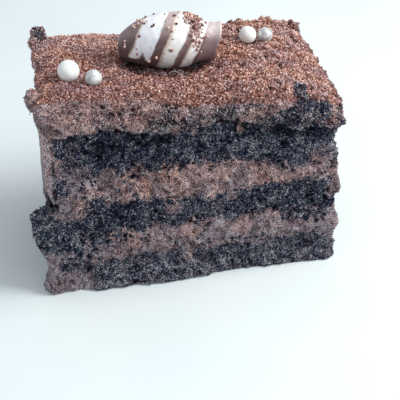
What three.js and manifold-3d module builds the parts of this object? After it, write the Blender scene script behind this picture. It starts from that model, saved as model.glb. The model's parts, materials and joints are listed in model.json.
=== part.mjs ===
// A cut block of chocolate layer cake: three dark sponge layers, two mousse fillings, a mousse frosting that
// also runs down the left side, a marbled chocolate shell and four sugar pearls seated in the frosting.
// Millimetres, +Z up. The block is modelled from its front left bottom corner, X along the cut front face
// and Y into the depth, and is then moved so that the origin lies under its middle.
import * as THREE from "three";
import { mergeVertices } from "three/addons/utils/BufferGeometryUtils.js";
import Module from "manifold-3d";

const wasm = await Module();
wasm.setup();

// ---- driving dimensions ----
const WIDTH = 100; // the cut front face at the plate, left to right
const DEPTH = 58; // front to back at the left end
const DEPTH_GAIN = 4.4; // how much deeper the right end is cut
const LEFT_EDGE = -1.8; // the left side's foot
const LEFT_LEAN = 0.037; // how far the left side leans in for each millimetre of height
const LEFT_SKEW = 1.7; // how much further in the left side is cut at the back
const RIGHT_EDGE = 100.6; // the right side's foot
const RIGHT_LEAN = 0.05; // how far the right side leans in for each millimetre of height
const CORNER = 2.2; // corner radius of the block seen from above
const GAP = 0.3; // clearance between solids that touch
const CELLS_WIDE = 30; // mesh cells along the width
const CELLS_DEEP = 18; // mesh cells along the depth
const RING = 2 * (CELLS_WIDE + CELLS_DEEP); // points round the block

// Heights where one layer meets the next, at six even stations from left to right, at the front and at the
// back. Each level also rises and falls by up to its wave.
const LEVELS = [
  { front: [0, 0, 0, 0, 0, 0], back: [0, 0, 0, 0, 0, 0], wave: 0 },
  { front: [10, 11, 12.4, 11.6, 12.4, 9.4], back: [10, 11.5, 10.6, 12, 11, 10.4], wave: 0.7 },
  { front: [19, 20.6, 23, 23, 23.4, 22], back: [20, 22.4, 21.6, 22.6, 22, 21.6], wave: 0.7 },
  { front: [32.6, 33.6, 34.6, 33.6, 35.6, 35], back: [33, 34.4, 34, 34.8, 34.2, 34.6], wave: 0.7 },
  { front: [41, 45.6, 46, 45.8, 42.8, 43], back: [42, 44, 45.4, 44.4, 45, 43], wave: 1.1 },
  { front: [61, 61.6, 60, 60.4, 57.4, 55], back: [60.6, 61.4, 60.4, 60.2, 59.4, 57.6], wave: 0.7 },
  { front: [72.6, 71.6, 70.2, 69.2, 68, 65], back: [71, 70.2, 69.2, 69, 68.6, 68.2], wave: 0 },
];
const PLATE = 0;
const TOP = LEVELS.length - 1;
const UNDER_COAT = 3; // the lowest level that the coat covers

const CRAG = { size: 8.5, depth: 0.95 }; // the torn relief of the cut faces
const CRUMB = { size: 3.6, depth: 0.5 }; // the finer relief on top of it

// Frosting spread down the left side, which swells by its belly halfway down. The layers behind it stand in
// to make room for it.
const COAT = { thick: 3.5, bottom: 35.4, top: 66, wave: 1.2, belly: 1.1 };
const ROOM = { from: 26, to: 31, share: 0.06 }; // the heights where they start to, over a share of the width
const LEDGE = { reach: 6.6, from: 10, to: 24, back: 9 }; // the front left corner swells out below the coat
// The bottom sponge spreads at the plate: by one measure all along, and by another between two places.
const SKIRT = { along: 0.9, push: 2.2, from: 8, to: 58, high: 7, fade: 8 };
const LIP = { out: 1.2, right: 0.5 }; // the frosting stands proud of the sponge, most at the right end
const RECESS = { deep: 1.7, from: 58, to: 98 }; // the top sponge is torn away under the frosting's front edge
const EDGE_DROP = 1.5; // how far the frosting's rim lies under its top
const EDGE_SAG = { drop: 0.5, from: 2, to: 7 }; // the top sags gently towards its rim
const FRONT_SAG = { drop: 1.3, to: 7 }; // and further towards the cut front
const GRAIN_RELIEF = { size: 2.6, depth: 0.3 }; // cocoa crumb on the frosting's top
const TOP_WAVE = { size: 13, depth: 0.35 }; // the spread frosting is not quite level

// The shell lies on its side: the place of its middle, its turn seen from above, its widest and neck radius,
// the share of its length where it is widest, and how far its flat seat lies under its axis.
const SHELL = { x: 45.5, y: 29.5, turn: -8.6, length: 32.8, radius: 9.4, neck: 6, widest: 0.52, base: 7.8 };
const MOUTH_SLANT = 0.16; // the neck is cut off aslant, further out at the top
const DROOP = { tip: 1.9, neck: 0.7 }; // how far the shell's two ends hang below its middle
const PEARLS = [
  { name: "pearl_white_left", x: 11.1, y: 18.2, radius: 3.6, sunk: 0.8, colour: 0xece9df },
  { name: "pearl_silver_left", x: 18.6, y: 13.9, radius: 2.73, sunk: 0.7, colour: 0xb9b9b6 },
  { name: "pearl_white_right", x: 75.8, y: 41.9, radius: 3.15, sunk: 0.7, colour: 0xece9df },
  { name: "pearl_silver_right", x: 82.4, y: 42.6, radius: 2.73, sunk: 0.8, colour: 0xb9b9b6 },
];

// A smear of mousse at the front left foot, and crumb lumps caught along the frosting's edges.
const FOOT_LUMPS = [
  { x: 0.9, y: 2.4, z: 8.6, rx: 3.2, ry: 4, rz: 6.4 },
  { x: -0.6, y: 2, z: 3.6, rx: 3.8, ry: 4.2, rz: 5.2 },
  { x: 0.6, y: 0.6, z: 2, rx: 5, ry: 2.8, rz: 3 },
  { x: 5, y: 0.9, z: 2.6, rx: 4.6, ry: 2.6, rz: 3.8 },
];
const EDGE_LUMPS = [
  { x: 3, y: 56.8, z: 69.8, rx: 2.6, ry: 2.6, rz: 2.6 },
  { x: 1.4, y: 52.4, z: 69, rx: 2.2, ry: 3.4, rz: 2.2 },
  { x: -1.2, y: 10.5, z: 69.2, rx: 2.4, ry: 3.2, rz: 2.8 },
  { x: 95.2, y: 2.8, z: 58.2, rx: 3.4, ry: 4.2, rz: 4.4 },
  { x: 97.4, y: 14, z: 61, rx: 2.6, ry: 5, rz: 3 },
  { x: 76, y: 60.6, z: 67, rx: 5, ry: 2.4, rz: 2 },
  { x: 86, y: 61, z: 66.8, rx: 4.4, ry: 2.4, rz: 2 },
  { x: 97.2, y: 57.6, z: 65.6, rx: 3, ry: 4, rz: 2.2 },
];

// Mousse squeezed out at the right end, over the edge of the sponge below.
const UPPER_DRIP = { x: 97.8, y: 2, z: 31.6, rx: 3, ry: 3, rz: 4.6 };
const LOWER_DRIP = { x: 98.8, y: 2.4, z: 16, rx: 2.6, ry: 3.4, rz: 3.4 };

// ---- small helpers ----
const lerp = THREE.MathUtils.lerp;
const clamp = THREE.MathUtils.clamp;
const smooth = THREE.MathUtils.smoothstep;

// A number from -1 to 1 that belongs to one lattice point.
function latticeValue(i, j, k) {
  let h = Math.imul(i, 374761393) ^ Math.imul(j, 668265263) ^ Math.imul(k, 1274126177);
  h = Math.imul(h ^ (h >>> 13), 1103515245);
  return ((h ^ (h >>> 16)) >>> 0) / 2147483648 - 1;
}

// Smooth noise from -1 to 1 whose lumps are about `size` across.
function noise(x, y, z, size) {
  const [px, py, pz] = [x / size, y / size, z / size];
  const [i, j, k] = [Math.floor(px), Math.floor(py), Math.floor(pz)];
  const [u, v, w] = [px - i, py - j, pz - k].map((t) => t * t * (3 - 2 * t));
  const edge = (dj, dk) => lerp(latticeValue(i, j + dj, k + dk), latticeValue(i + 1, j + dj, k + dk), u);
  return lerp(lerp(edge(0, 0), edge(1, 0), v), lerp(edge(0, 1), edge(1, 1), v), w);
}

// A smooth curve through even stations, at a share s of the way along them.
function throughStations(values, s) {
  const last = values.length - 1;
  const at = clamp(s, 0, 1) * last;
  const i = Math.min(Math.floor(at), last - 1);
  const [a, b, c, d] = [i - 1, i, i + 1, i + 2].map((n) => values[clamp(n, 0, last)]);
  const t = at - i;
  return b + 0.5 * t * (c - a + t * (2 * a - 5 * b + 4 * c - d + t * (3 * (b - c) + d - a)));
}

// The height of a level at a place on the block.
function levelHeight(level, x, y) {
  const { front, back, wave } = LEVELS[level];
  const s = x / WIDTH;
  const height = lerp(throughStations(front, s), throughStations(back, s), clamp(y / DEPTH, 0, 1));
  return height + wave * noise(x, y, 40 * level, 7);
}

// ---- the block's outline ----
const leftAt = (z, t) => LEFT_EDGE + LEFT_LEAN * z + LEFT_SKEW * t;
const rightAt = (z) => RIGHT_EDGE - RIGHT_LEAN * z;
const backAt = (s) => DEPTH + DEPTH_GAIN * smooth(s, 0.4, 0.9);

// Point i of the ring as shares of the width and the depth: along the front, right, back and left sides.
function ringShares(i) {
  const side = [CELLS_WIDE, CELLS_DEEP, CELLS_WIDE, CELLS_DEEP];
  let n = ((i % RING) + RING) % RING;
  if (n < side[0]) return [n / side[0], 0];
  n -= side[0];
  if (n < side[1]) return [1, n / side[1]];
  n -= side[1];
  if (n < side[2]) return [1 - n / side[2], 1];
  return [0, 1 - (n - side[2]) / side[3]];
}

// How far the layers behind the coat stand in at the left end, at height z.
const COAT_ROOM = COAT.thick + GAP;
const coatRoom = (s, z) => COAT_ROOM * (1 - smooth(s, 0, ROOM.share)) * smooth(z, ROOM.from, ROOM.to);

// How far the front left corner swells out at height z, fading towards the back.
const ledgeReach = (y, z) => LEDGE.reach * smooth(z, LEDGE.from, LEDGE.to) * (1 - smooth(y, 1, LEDGE.back));

// Ring point i at height z, before relief, with the direction that faces out of the block there. The left
// side stands in by `inset`, and its corners are sharp where the coat covers them.
function outline(i, z, inset) {
  const [s, t] = ringShares(i);
  const [left, right, back] = [leftAt(z, t) + inset, rightAt(z), backAt(s)];
  const corner = lerp(CORNER, 0.5, clamp(inset / COAT_ROOM, 0, 1));
  const [x, y] = [lerp(left, right, s), t * back];
  const inner = new THREE.Vector2(clamp(x, left + corner, right - corner), clamp(y, corner, back - corner));
  const out = new THREE.Vector2(x, y).sub(inner).normalize();
  return { at: inner.addScaledVector(out, corner), out };
}

// The torn relief of the cut faces.
function cragRelief(x, y, z) {
  return CRAG.depth * noise(x, y, z, CRAG.size) + CRUMB.depth * noise(x, y, z, CRUMB.size);
}

// One ring of points at a share `up` of the way between two levels, pushed out by `push(place)`.
function ring(lower, upper, up, lift, push) {
  const points = [];
  for (let i = 0; i < RING; i++) {
    const [s, t] = ringShares(i);
    const place = [s * WIDTH, t * backAt(s)];
    const z = lerp(levelHeight(lower, ...place), levelHeight(upper, ...place), up);
    const underCoat = lower >= UNDER_COAT && (upper < TOP || up === 0);
    const besideCoat = lower >= UNDER_COAT ? 0 : -ledgeReach(place[1], z);
    const inset = underCoat ? coatRoom(s, z) : besideCoat;
    const { at, out } = outline(i, z, inset);
    const foot = z < 2 ? 0.5 : 1; // the foot is cut cleaner than the sides
    const relief = foot * cragRelief(at.x, at.y, z) + push({ s, t, x: at.x, y: at.y, z, up });
    const bare = 1 - clamp(inset / COAT_ROOM, 0, 1); // flat where the coat lies against it
    at.addScaledVector(out, relief * bare);
    points.push(new THREE.Vector3(at.x, at.y, z + lift));
  }
  return points;
}

// The ring where two layers meet. Both layers use it, each on its own side of the gap.
function sharedRing(level, lift) {
  const [lower, upper, up] = level === TOP ? [level - 1, level, 1] : [level, level + 1, 0];
  return ring(lower, upper, up, lift, () => 0);
}

// ---- closed meshes from rings ----
function geometryOf(points, triangles) {
  const geometry = new THREE.BufferGeometry();
  geometry.setAttribute("position", new THREE.Float32BufferAttribute(points.flatMap((p) => p.toArray()), 3));
  geometry.setIndex(triangles.flat());
  geometry.computeVertexNormals();
  return geometry;
}

// The wall triangles that join ring after ring.
function wallTriangles(rings) {
  const triangles = [];
  for (let r = 0; r + 1 < rings; r++) {
    for (let i = 0; i < RING; i++) {
      const j = (i + 1) % RING;
      const [a, b, c, d] = [r * RING + i, r * RING + j, (r + 1) * RING + j, (r + 1) * RING + i];
      triangles.push([a, b, c], [a, c, d]);
    }
  }
  return triangles;
}

// A fan that closes a ring from its middle point.
function fanTriangles(start, middle, facesUp) {
  return Array.from({ length: RING }, (_, i) => {
    const [a, b] = [start + i, start + ((i + 1) % RING)];
    return facesUp ? [a, b, middle] : [b, a, middle];
  });
}

function middlePoint(level, lift) {
  const [x, y] = [WIDTH / 2, DEPTH / 2];
  return new THREE.Vector3(x, y, levelHeight(level, x, y) + lift);
}

// A layer between two levels. `steps` are the shares of its height that get a ring of their own.
function layerGeometry(lower, upper, steps, push) {
  const floorLift = lower === PLATE ? 0 : GAP / 2;
  const rings = [sharedRing(lower, floorLift)];
  for (const up of steps) rings.push(ring(lower, upper, up, 0, push));
  rings.push(sharedRing(upper, -GAP / 2));
  const points = [...rings.flat(), middlePoint(lower, floorLift), middlePoint(upper, -GAP / 2)];
  const last = (rings.length - 1) * RING;
  const [floor, roof] = [points.length - 2, points.length - 1];
  return geometryOf(points, [
    ...wallTriangles(rings.length),
    ...fanTriangles(0, floor, false),
    ...fanTriangles(last, roof, true),
  ]);
}

// ---- the layers' own side shapes ----
const between = (x, { from, to }, fade) => smooth(x, from, from + fade) * (1 - smooth(x, to - fade, to));

function skirtPush({ t, x, z }) {
  if (t > 0 || z > SKIRT.high) return 0;
  return (SKIRT.along + SKIRT.push * between(x, SKIRT, SKIRT.fade)) * (1 - z / SKIRT.high);
}

function recessPush({ t, x, up }) {
  return t > 0 ? 0 : -RECESS.deep * between(x, RECESS, 12) * smooth(up, 0.6, 0.85);
}

const spongeSteps = [0.07, 0.28, 0.5, 0.72, 0.93];
const fillingSteps = [0.12, 0.37, 0.63, 0.88];
const lumpy = ({ x, y, z }, shift) => 0.5 * noise(x, y, z + shift, 5);
const spongePush = (place) => -0.35 - lumpy(place, 90);
const fillingPush = (place) => 0.75 * Math.sin(Math.PI * place.up) + lumpy(place, 60);

// ---- manifold-3d: cutting and joining ----
function solidOf(geometry) {
  const bare = geometry.clone();
  bare.deleteAttribute("normal");
  bare.deleteAttribute("uv");
  const merged = mergeVertices(bare, 1e-4);
  const vertProperties = new Float32Array(merged.attributes.position.array);
  const triVerts = new Uint32Array(merged.index.array);
  return new wasm.Manifold(new wasm.Mesh({ numProp: 3, vertProperties, triVerts }));
}

function geometryFrom(solid) {
  const mesh = solid.getMesh();
  const geometry = new THREE.BufferGeometry();
  geometry.setAttribute("position", new THREE.Float32BufferAttribute(mesh.vertProperties, 3));
  geometry.setIndex([...mesh.triVerts]);
  geometry.computeVertexNormals();
  return geometry;
}

const joined = (base, additions) => additions.reduce((sum, piece) => sum.add(solidOf(piece)), base);
const cut = (base, cutters) => cutters.reduce((rest, piece) => rest.subtract(solidOf(piece)), base);

// Drops the loose scraps that a cut can leave beside the piece itself.
function withoutScraps(solid) {
  return solid.decompose().reduce((largest, piece) => (piece.volume() > largest.volume() ? piece : largest));
}

// An uneven lump, grown by `grow` when it serves as a cutter.
function lumpGeometry({ x, y, z, rx, ry, rz }, grow = 0) {
  const geometry = new THREE.IcosahedronGeometry(1, 1);
  const position = geometry.attributes.position;
  const point = new THREE.Vector3();
  for (let i = 0; i < position.count; i++) {
    point.fromBufferAttribute(position, i);
    const uneven = 1 + 0.16 * noise(point.x * 5 + x, point.y * 5 + y, point.z * 5 + z, 3);
    position.setXYZ(
      i,
      x + point.x * (rx * uneven + grow),
      y + point.y * (ry * uneven + grow),
      Math.max(z + point.z * (rz * uneven + grow), -2 * grow),
    );
  }
  return geometry;
}

// A layer cut back where its neighbour's lumps hang over it.
function clearOf(layer, lumps) {
  return geometryFrom(withoutScraps(cut(solidOf(layer), lumps.map((lump) => lumpGeometry(lump, GAP)))));
}

// A filling above level `lower`, with the lumps that hang from it.
function fillingGeometry(lower, lumps) {
  const layer = layerGeometry(lower, lower + 1, fillingSteps, fillingPush);
  return geometryFrom(joined(solidOf(layer), lumps.map((lump) => lumpGeometry(lump))));
}

// ---- frosting: a slab on top and a coat down the left side ----
const TALL = 68; // about the height of the frosting's top
const slabSteps = [0.08, 0.28, 0.52, 0.78];

// The slab's side is fullest below the middle of its height, and lumpy.
function slabPush({ s, t, x, y, z, up }) {
  const body = Math.sin(Math.PI * lerp(0.12, 0.74, up));
  const right = LIP.right * smooth(s, 0.95, 1) * (1 - smooth(up, 0.5, 1)) * lerp(1, 0.6, t);
  return LIP.out * body + right + 0.35 * noise(x, y, z + 30, 4);
}

const frontSag = (y) => FRONT_SAG.drop * (1 - smooth(y, 0, FRONT_SAG.to));

// The top's height at a place, sagging towards the rim.
function topHeight(x, y) {
  const back = backAt(x / WIDTH);
  const fromEdge = Math.min(x - leftAt(TALL, y / back), rightAt(TALL) - x, y, back - y);
  const sag = EDGE_SAG.drop * (1 - smooth(fromEdge, EDGE_SAG.from, EDGE_SAG.to)) + frontSag(y);
  const grains = GRAIN_RELIEF.depth * noise(x, y, 7, GRAIN_RELIEF.size);
  return levelHeight(TOP, x, y) - sag + grains + TOP_WAVE.depth * noise(x, y, 3, TOP_WAVE.size);
}

function slabGeometry() {
  const rings = [sharedRing(TOP - 1, GAP / 2)];
  for (const up of slabSteps) rings.push(ring(TOP - 1, TOP, up, 0, slabPush));
  const rim = ring(TOP - 1, TOP, 1, -EDGE_DROP, () => -0.5);
  for (const point of rim) point.z -= frontSag(point.y);
  rings.push(rim);
  const points = rings.flat();
  const last = (rings.length - 1) * RING;

  // The top is a grid whose rim is the last ring; inside, its places are blended from the four sides.
  const rimIndex = (i, j) => {
    if (j === 0) return i;
    if (i === CELLS_WIDE) return CELLS_WIDE + j;
    if (j === CELLS_DEEP) return 2 * CELLS_WIDE + CELLS_DEEP - i;
    if (i === 0) return (RING - j) % RING;
    return -1;
  };
  const index = [];
  for (let j = 0; j <= CELLS_DEEP; j++) {
    for (let i = 0; i <= CELLS_WIDE; i++) {
      const onRim = rimIndex(i, j);
      if (onRim >= 0) {
        index.push(last + onRim);
        continue;
      }
      const [u, v] = [i / CELLS_WIDE, j / CELLS_DEEP];
      const x = lerp(rim[rimIndex(0, j)].x, rim[rimIndex(CELLS_WIDE, j)].x, u);
      const y = lerp(rim[rimIndex(i, 0)].y, rim[rimIndex(i, CELLS_DEEP)].y, v);
      index.push(points.length);
      points.push(new THREE.Vector3(x, y, topHeight(x, y)));
    }
  }
  const top = [];
  for (let j = 0; j < CELLS_DEEP; j++) {
    for (let i = 0; i < CELLS_WIDE; i++) {
      const a = j * (CELLS_WIDE + 1) + i;
      const [b, c, d] = [a + 1, a + CELLS_WIDE + 2, a + CELLS_WIDE + 1];
      top.push([index[a], index[b], index[c]], [index[a], index[c], index[d]]);
    }
  }
  points.push(middlePoint(TOP - 1, GAP / 2));
  const floor = fanTriangles(0, points.length - 1, false);
  return geometryOf(points, [...wallTriangles(rings.length), ...floor, ...top]);
}

// The coat reaches up well inside the slab.
function coatGeometry() {
  const [front, back] = [0, DEPTH - 0.6];
  const geometry = new THREE.BoxGeometry(1, 1, 1, 1, 18, 10);
  const position = geometry.attributes.position;
  for (let i = 0; i < position.count; i++) {
    const [outer, along, up] = [0.5 - position.getX(i), position.getY(i) + 0.5, position.getZ(i) + 0.5];
    const y = lerp(front, back, along);
    const bottom = COAT.bottom + COAT.wave * noise(y, 11, 5, 9);
    const z = lerp(bottom, COAT.top, up);
    const ends = 1 - smooth(Math.abs(along - 0.5), 0.46, 0.5); // thinner at the cut ends
    const thin = lerp(0.6, 1, smooth(up, 0, 0.2)) * lerp(0.85, 1, ends);
    const wavy = 0.35 * noise(y, z, 2, 8) + 0.25 * noise(y, z, 4, 3.5);
    const swell = COAT.belly * Math.sin(Math.PI * up);
    const inner = leftAt(z, along) + COAT.thick;
    position.setXYZ(i, inner - outer * (COAT.thick * thin + wavy + swell), y, z);
  }
  return geometry;
}

// ---- the chocolate shell ----
// Its radius at a share t of its length, from the blunt tip (a rounded end with part of it missing) to the
// open neck, which flares a little.
const BLUNT = 0.11;
function shellRadius(t) {
  if (t < SHELL.widest) {
    const share = Math.pow((t + BLUNT) / (SHELL.widest + BLUNT), 0.75);
    return SHELL.radius * Math.sin((Math.PI / 2) * share);
  }
  const down = Math.pow(clamp((t - SHELL.widest) / (0.98 - SHELL.widest), 0, 1), 1.2);
  const flare = 0.3 * smooth(t, 0.93, 1);
  return lerp(SHELL.neck, SHELL.radius, 0.5 + 0.5 * Math.cos(Math.PI * down)) + flare;
}

function shellGeometry(grow = 0) {
  const steps = 17;
  const profile = [new THREE.Vector2(0, -SHELL.length / 2 - 0.6 - grow)];
  for (let i = 0; i <= steps; i++) {
    const t = i / steps;
    profile.push(new THREE.Vector2(shellRadius(t) + grow, (t - 0.5) * SHELL.length));
  }
  const mouth = SHELL.length / 2 + grow;
  profile.push(new THREE.Vector2(SHELL.neck * 0.86, mouth + 0.35)); // the rim
  profile.push(new THREE.Vector2(SHELL.neck * 0.5, mouth - 0.5)); // the shallow mouth
  profile.push(new THREE.Vector2(0, mouth - 0.8));
  const round = new THREE.LatheGeometry(profile, 24).rotateZ(-Math.PI / 2);
  const position = round.attributes.position;
  for (let i = 0; i < position.count; i++) {
    const [x, z] = [position.getX(i), position.getZ(i)];
    const share = Math.min(Math.abs(x) / (SHELL.length / 2), 1);
    const slant = MOUTH_SLANT * smooth(x, 0, SHELL.length / 2);
    position.setX(i, x + slant * z);
    position.setZ(i, z - (x < 0 ? DROOP.tip : DROOP.neck) * share * share);
  }
  const [seatSize, seatDeep] = [60, 10];
  const flat = new THREE.BoxGeometry(seatSize, seatSize, seatDeep);
  flat.translate(0, 0, -seatDeep / 2 - SHELL.base - grow);
  const base = levelHeight(TOP, SHELL.x, SHELL.y) + SHELL.base - 0.2;
  return geometryFrom(cut(solidOf(round), [flat]))
    .rotateZ(THREE.MathUtils.degToRad(SHELL.turn))
    .translate(SHELL.x, SHELL.y, base);
}

function pearlGeometry({ x, y, radius, sunk }, grow = 0) {
  const centre = levelHeight(TOP, x, y) + radius - sunk;
  return new THREE.IcosahedronGeometry(radius + grow, 2).translate(x, y, centre);
}

// ---- assembly ----
const cake = new THREE.Group();
const slice = new THREE.Group();
cake.add(slice);

function addPiece(name, geometry, colour, roughness) {
  const material = new THREE.MeshStandardMaterial({ color: colour, roughness, metalness: 0 });
  const mesh = new THREE.Mesh(geometry, material);
  mesh.name = name;
  slice.add(mesh);
}

const SPONGE = [0x2a2022, 0.95];
const MOUSSE = [0x7d5448, 0.7];
const FROSTING = [0x6d473c, 0.85];

const bottomSponge = layerGeometry(0, 1, spongeSteps, (place) => spongePush(place) + skirtPush(place));
addPiece("sponge_bottom", clearOf(bottomSponge, [...FOOT_LUMPS, LOWER_DRIP]), ...SPONGE);
addPiece("filling_lower", fillingGeometry(1, [...FOOT_LUMPS, LOWER_DRIP]), ...MOUSSE);

const middleSponge = layerGeometry(2, 3, spongeSteps, spongePush);
addPiece("sponge_middle", clearOf(middleSponge, [LOWER_DRIP, UPPER_DRIP]), ...SPONGE);
addPiece("filling_upper", fillingGeometry(3, [UPPER_DRIP]), ...MOUSSE);

const topSponge = layerGeometry(4, 5, spongeSteps, (place) => spongePush(place) + recessPush(place));
addPiece("sponge_top", clearOf(topSponge, EDGE_LUMPS), ...SPONGE);

const edgeLumps = EDGE_LUMPS.map((lump) => lumpGeometry(lump));
const slabAndCoat = joined(solidOf(slabGeometry()), [coatGeometry(), ...edgeLumps]);
const seats = [shellGeometry(GAP), ...PEARLS.map((pearl) => pearlGeometry(pearl, GAP))];
addPiece("frosting", geometryFrom(cut(slabAndCoat, seats)), ...FROSTING);

addPiece("chocolate_shell", shellGeometry(), 0x8d7468, 0.4);
for (const pearl of PEARLS) addPiece(pearl.name, pearlGeometry(pearl), pearl.colour, 0.35);

// The origin goes under the middle of the whole, on the plate.
const box = new THREE.Box3().setFromObject(slice);
const centre = box.getCenter(new THREE.Vector3());
slice.position.set(-centre.x, -centre.y, -box.min.z);

export default cake;
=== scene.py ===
import json
import math
import random

import bmesh
import bpy
import numpy as np
from mathutils import Euler, Matrix, Vector, noise
from mathutils.bvhtree import BVHTree

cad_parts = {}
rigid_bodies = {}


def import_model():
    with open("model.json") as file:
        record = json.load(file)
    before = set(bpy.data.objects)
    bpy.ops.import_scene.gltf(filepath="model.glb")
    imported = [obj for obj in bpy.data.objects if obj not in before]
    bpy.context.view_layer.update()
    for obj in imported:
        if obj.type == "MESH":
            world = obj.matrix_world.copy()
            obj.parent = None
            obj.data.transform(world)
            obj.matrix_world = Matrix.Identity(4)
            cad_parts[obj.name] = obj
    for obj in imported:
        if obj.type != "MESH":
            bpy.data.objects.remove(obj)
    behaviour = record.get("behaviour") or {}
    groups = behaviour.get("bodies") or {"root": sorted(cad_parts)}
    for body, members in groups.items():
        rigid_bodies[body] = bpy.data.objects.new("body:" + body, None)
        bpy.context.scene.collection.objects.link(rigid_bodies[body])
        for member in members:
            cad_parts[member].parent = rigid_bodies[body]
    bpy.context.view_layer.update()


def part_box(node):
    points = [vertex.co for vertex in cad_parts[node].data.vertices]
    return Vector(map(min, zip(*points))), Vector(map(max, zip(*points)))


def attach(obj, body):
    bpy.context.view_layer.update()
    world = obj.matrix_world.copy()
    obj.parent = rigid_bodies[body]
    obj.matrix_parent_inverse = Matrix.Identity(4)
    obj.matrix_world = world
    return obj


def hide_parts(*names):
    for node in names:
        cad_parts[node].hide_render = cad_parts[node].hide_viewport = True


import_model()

noise.seed_set(1)  # noise vectors start from it, so every run tears the slice in the same way

# ---- the slice's own frame: millimetres from the front left corner of the cut block ----
MM = 0.001
WIDTH, DEPTH = 100.0, 58.0  # the cut front face, and front to back at the left end
# Where each pearl sits on the frosting, and the radius of the spot that it hides.
PEARL_FEET = {"pearl_white_left": (11.1, 18.2, 2.4), "pearl_silver_left": (18.6, 13.9, 1.9),
              "pearl_white_right": (75.8, 41.9, 2.1), "pearl_silver_right": (82.4, 42.6, 1.9)}
pearl_low, pearl_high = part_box("pearl_white_left")
pearl_middle = (pearl_low + pearl_high) / 2
pearl_x, pearl_y, _ = PEARL_FEET["pearl_white_left"]
CORNER = Vector((pearl_middle.x - pearl_x * MM, pearl_middle.y - pearl_y * MM, 0))


def place(x, y, z):
    """A point of the slice's own frame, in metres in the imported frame."""
    return CORNER + Vector((x, y, z)) * MM


def own(point):
    """A packed point in the slice's own millimetres."""
    return (point - CORNER) / MM


def smooth(value, low, high):
    """0 below low, 1 above high, an even curve between."""
    t = min(max((value - low) / (high - low), 0.0), 1.0)
    return t * t * (3 - 2 * t)


def blend(a, b, share):
    """a where the share is 0, b where it is 1."""
    return a + (b - a) * share


def rgb(code):
    """An sRGB hex colour as linear red, green, blue and alpha."""
    channels = [int(code[i:i + 2], 16) / 255 for i in (1, 3, 5)]
    linear = [c / 12.92 if c <= 0.04045 else ((c + 0.055) / 1.055) ** 2.4 for c in channels]
    return (*linear, 1.0)


# ---- camera and light ----
LENS, SENSOR = 81.0, 36.0  # millimetres
CAMERA_SPOT = (0.535, -245.527, 200.682)  # in the slice's own frame
LOOKS_DOWN, TURNED_RIGHT = 34.0, 11.43  # degrees


def set_camera():
    data = bpy.data.cameras.new("camera")
    data.lens, data.sensor_width = LENS, SENSOR
    data.clip_start, data.clip_end = 0.01, 10.0
    camera = bpy.data.objects.new("camera", data)
    bpy.context.scene.collection.objects.link(camera)
    camera.location = place(*CAMERA_SPOT)
    camera.rotation_euler = (math.radians(90 - LOOKS_DOWN), 0, math.radians(-TURNED_RIGHT))
    bpy.context.scene.camera = camera


def add_lamp(name, towards, distance, size, power, colour):
    """A square soft box that faces the slice from a direction. Its distance and size are in metres, and its
    power in watts."""
    data = bpy.data.lights.new(name, "AREA")
    data.shape, data.size, data.energy, data.color = "SQUARE", size, power, colour
    lamp = bpy.data.objects.new(name, data)
    bpy.context.scene.collection.objects.link(lamp)
    direction = Vector(towards).normalized()
    lamp.location = place(WIDTH / 2, DEPTH / 2, 35) + direction * distance
    lamp.rotation_euler = direction.to_track_quat("Z", "Y").to_euler()


def set_light():
    """A pale room, a warm key light from the right, and two weak cool ones that open the shadows."""
    bpy.context.scene.view_settings.view_transform = "Standard"
    world = bpy.data.worlds.new("soft_white_studio")
    bpy.context.scene.world = world
    world.use_nodes = True
    background = world.node_tree.nodes["Background"]
    background.inputs["Color"].default_value = rgb("#f0f6ff")
    background.inputs["Strength"].default_value = 0.62
    add_lamp("key", (0.85, -0.22, 0.8), 0.8, 0.4, 6.8, (1.0, 0.99, 0.97))
    add_lamp("fill", (0.5, -1.0, 0.6), 1.0, 0.7, 0.85, (0.96, 0.98, 1.0))
    add_lamp("edge", (-0.9, -0.8, 0.45), 1.0, 0.7, 0.5, (0.92, 0.96, 1.0))


# ---- material tools ----
def add(tree, kind, settings, inputs, output=0):
    """Adds a shader node and gives back one of its outputs. A socket among the inputs is linked, and
    anything else is a value. The setting named stops fills a colour ramp with (position, hex colour)
    pairs."""
    node = tree.nodes.new("ShaderNode" + kind)
    for name, value in settings.items():
        if name != "stops":
            setattr(node, name, value)
            continue
        elements = node.color_ramp.elements
        while len(elements) < len(value):
            elements.new(0.5)
        for element, (position, code) in zip(elements, value):
            element.position, element.color = position, rgb(code)
    for name, value in inputs.items():
        if isinstance(value, bpy.types.NodeSocket):
            tree.links.new(value, node.inputs[name])
        else:
            node.inputs[name].default_value = value
    return node.outputs[output]


def per_mm(size):
    """The texture scale whose features are `size` millimetres across."""
    return 1.0 / (size * MM)


def new_material(name):
    """A material, its node tree and its shader."""
    material = bpy.data.materials.new(name)
    material.use_nodes = True
    tree = material.node_tree
    shader = tree.nodes["Principled BSDF"]
    return material, tree, shader


TIMES_PLUS = {"operation": "MULTIPLY_ADD"}  # a Math node's first input times its second, plus its third
CAPPED = {"operation": "MULTIPLY_ADD", "use_clamp": True}  # the same, kept between 0 and 1
UNSIGNED = {"operation": "ABSOLUTE"}
SUM = {"operation": "ADD"}
PRODUCT = {"operation": "MULTIPLY"}
DARKEN = {"data_type": "RGBA", "blend_type": "MULTIPLY"}  # a Mix node that multiplies two colours


# ---- materials ----
# Crumb, from the painted shade at the bottom of a cell to the painted light on a wall, and mousse, from the
# painted shade of a pit to a painted glint.
NAVY_STOPS = [(0.0, "#040d28"), (0.2, "#08173a"), (0.45, "#1a2c49"), (0.7, "#5e6573"), (1.0, "#d2cfcf")]
UMBER_STOPS = [(0.0, "#100e18"), (0.2, "#211c28"), (0.45, "#403a43"), (0.72, "#7c767d"), (1.0, "#ddd8dc")]
MOUSSE_STOPS = [(0.0, "#392427"), (0.22, "#725454"), (0.45, "#aa8380"), (0.7, "#d0ada8"), (1.0, "#f6e8e6")]
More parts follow.
